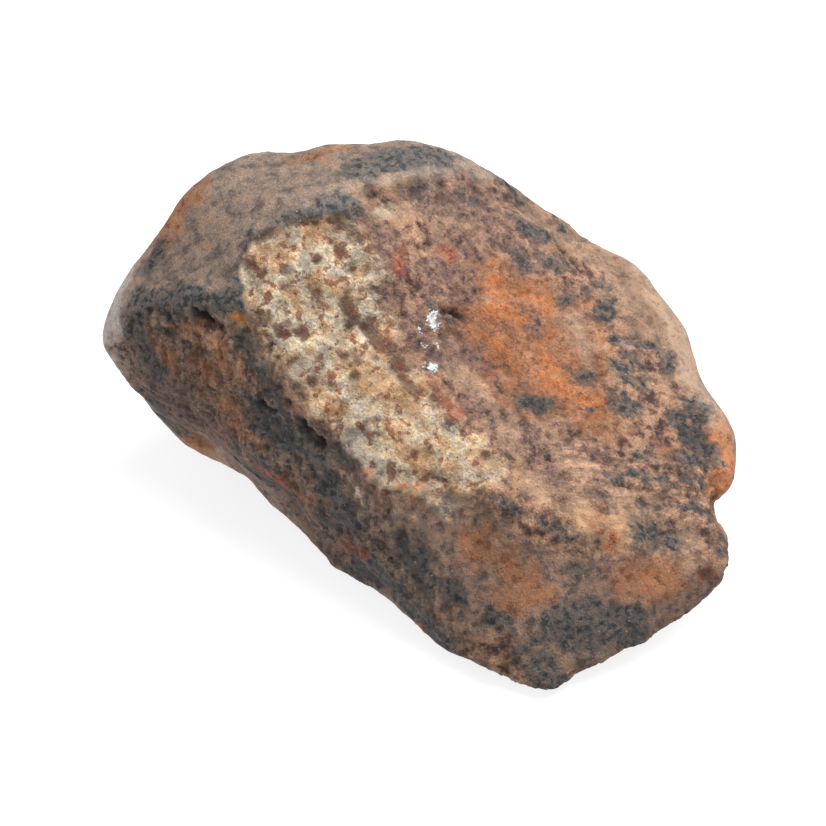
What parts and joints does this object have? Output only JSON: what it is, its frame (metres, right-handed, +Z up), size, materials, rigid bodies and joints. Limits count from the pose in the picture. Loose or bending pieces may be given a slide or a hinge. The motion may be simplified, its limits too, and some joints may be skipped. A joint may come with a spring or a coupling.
{
  "type": "meteorite",
  "caption": "Weathered stony meteorite: a wedge-shaped stone with a dished broken top, a smooth crust cap, a steep side wall and a low nose, lying on a flat facet.",
  "frame": {"origin": "middle of the bounding box's footprint, on the flat facet that the stone lies on", "axes": "+X along the stone's length, from the crust cap to the nose; +Y from the steep wall to the back; +Z up"},
  "size_m": [0.0474, 0.0312, 0.0229],
  "materials": {
    "stone": "weathered ordinary chondrite: dull brown and blue-black fusion crust, orange rust and a pale granular broken patch with small metal grains"
  },
  "bodies": {
    "root": {"meteorite_stone": "stone"}
  },
  "joints": []
}
